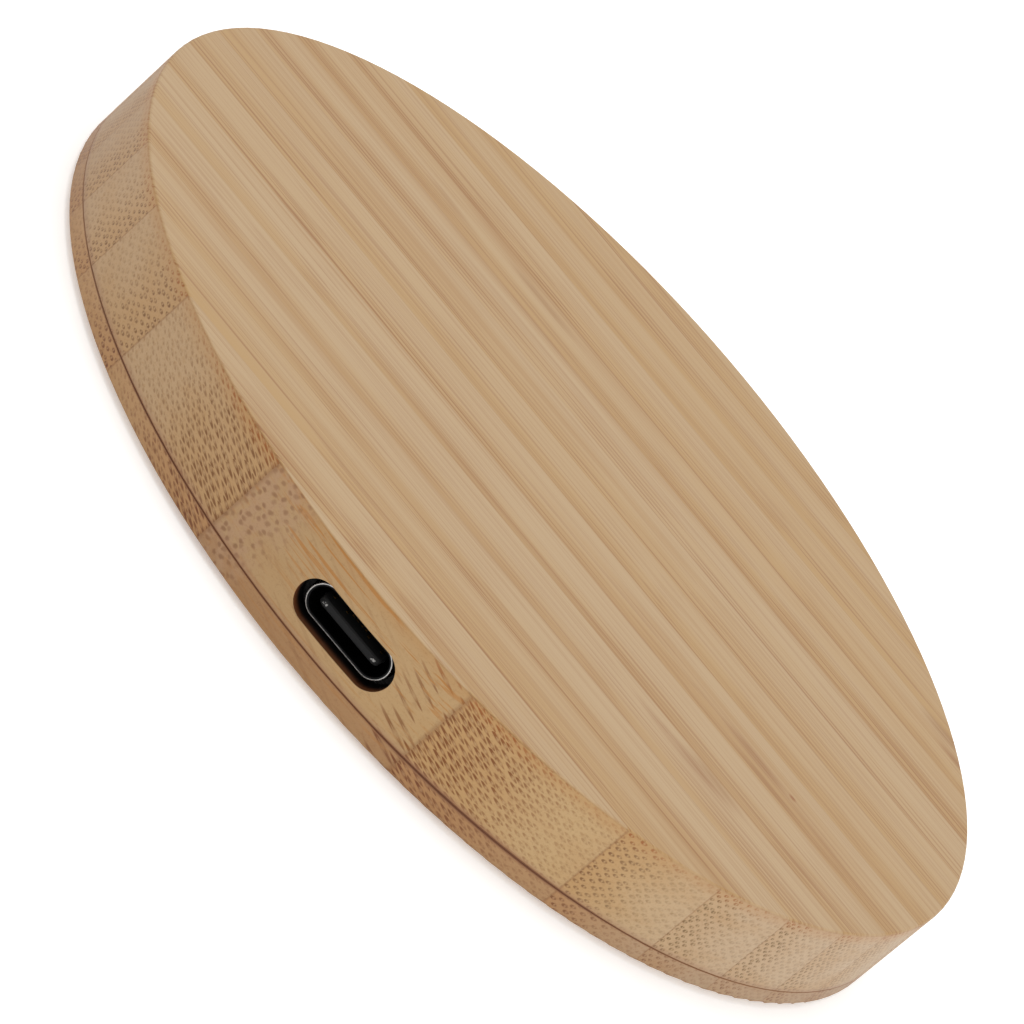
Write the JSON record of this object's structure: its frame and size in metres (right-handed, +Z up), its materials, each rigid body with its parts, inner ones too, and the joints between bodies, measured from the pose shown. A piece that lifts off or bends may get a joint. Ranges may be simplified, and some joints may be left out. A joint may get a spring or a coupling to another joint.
{
  "type": "wireless charging pad",
  "caption": "Round laminated-bamboo wireless charging pad with a recessed USB-C inlet in its rim.",
  "frame": {"origin": "middle of the plane that the feet stand on", "axes": "+Z up out of the charging face; the USB-C inlet faces -Y; +X to the right seen from the inlet"},
  "size_m": [0.095, 0.095, 0.0101],
  "materials": {
    "bamboo_shell": "sanded, satin oiled, vertically laminated bamboo",
    "bamboo_plate": "sanded, satin oiled, vertically laminated bamboo",
    "silicone": "matte",
    "foot_film": "thin clear adhesive film",
    "zinc_steel": "zinc plated",
    "receptacle_steel": "tinned, satin",
    "tongue_plastic": "moulded",
    "gold_contact": "gold plated",
    "solder_mask": "glossy",
    "chip_mould": "matte moulded",
    "capacitor_ceramic": "fired",
    "resistor_body": "glazed",
    "lamp_resin": "clear resin",
    "choke_ferrite": "sintered",
    "solder": "bright reflowed",
    "litz_wire": "enamelled copper strands",
    "wire_sleeve": "woven glass sleeving",
    "adhesive_tape": "thin double-sided tape",
    "shield_ferrite": "sintered, matte",
    "bead_epoxy": "dipped",
    "thin_wire": "insulated",
    "amber_film": "polyimide"
  },
  "bodies": {
    "root": {"top_shell": "bamboo_shell", "bottom_plate": "bamboo_plate", "foot_front_right": "silicone", "foot_rear_right": "silicone", "foot_rear_left": "silicone", "foot_front_left": "silicone", "foot_adhesives": "foot_film", "plate_screws": "zinc_steel", "board_screws": "zinc_steel", "usb_shell": "receptacle_steel", "usb_tongue": "tongue_plastic", "usb_mid_plate": "receptacle_steel", "usb_contacts": "gold_contact", "circuit_board": "solder_mask", "controller_chip": "chip_mould", "bridge_chips": "chip_mould", "protocol_chip": "chip_mould", "resonant_capacitors": "capacitor_ceramic", "input_capacitors": "capacitor_ceramic", "sense_resistor": "resistor_body", "status_led": "lamp_resin", "input_inductor": "choke_ferrite", "signal_resistors": "resistor_body", "signal_capacitors": "capacitor_ceramic", "solder_joints": "solder", "charging_coil": "litz_wire", "inner_lead_sleeve": "wire_sleeve", "coil_tape": "adhesive_tape", "ferrite_tape": "adhesive_tape", "ferrite_shield": "shield_ferrite", "thermistor_bead": "bead_epoxy", "thermistor_wires": "thin_wire", "wire_tape": "amber_film"}
  },
  "joints": []
}
